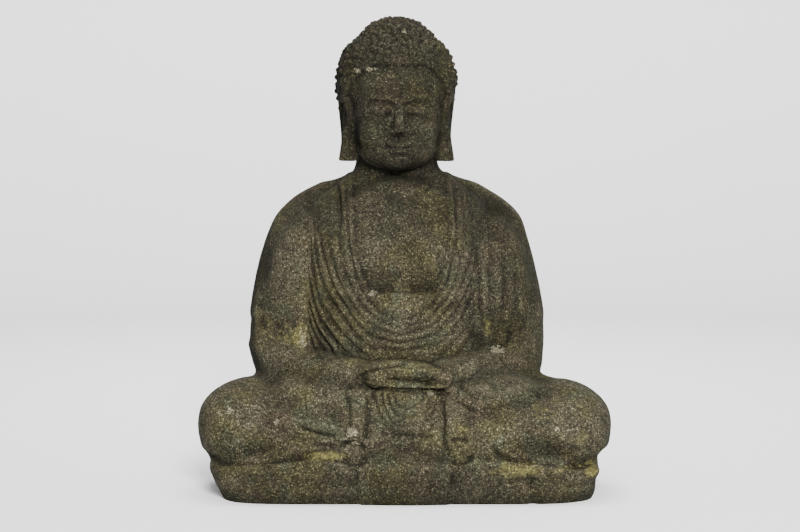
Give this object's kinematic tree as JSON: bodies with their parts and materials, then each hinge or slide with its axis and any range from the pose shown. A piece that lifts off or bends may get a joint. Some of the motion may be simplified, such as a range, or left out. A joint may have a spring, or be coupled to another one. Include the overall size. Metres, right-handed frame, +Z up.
{
  "type": "seated buddha statue",
  "caption": "Seated Buddha carved in dark volcanic stone, in a folded robe with hands together in the lap, curled hair and long ears.",
  "frame": {"origin": "middle of the bounding box on the plane the statue stands on", "axes": "+Z up to the crown, -Y the way the figure faces, +X to the figure's left"},
  "size_m": [0.432, 0.286, 0.5],
  "materials": {
    "volcanic_stone": "matte"
  },
  "bodies": {
    "root": {"buddha_statue": "volcanic_stone"}
  },
  "joints": []
}
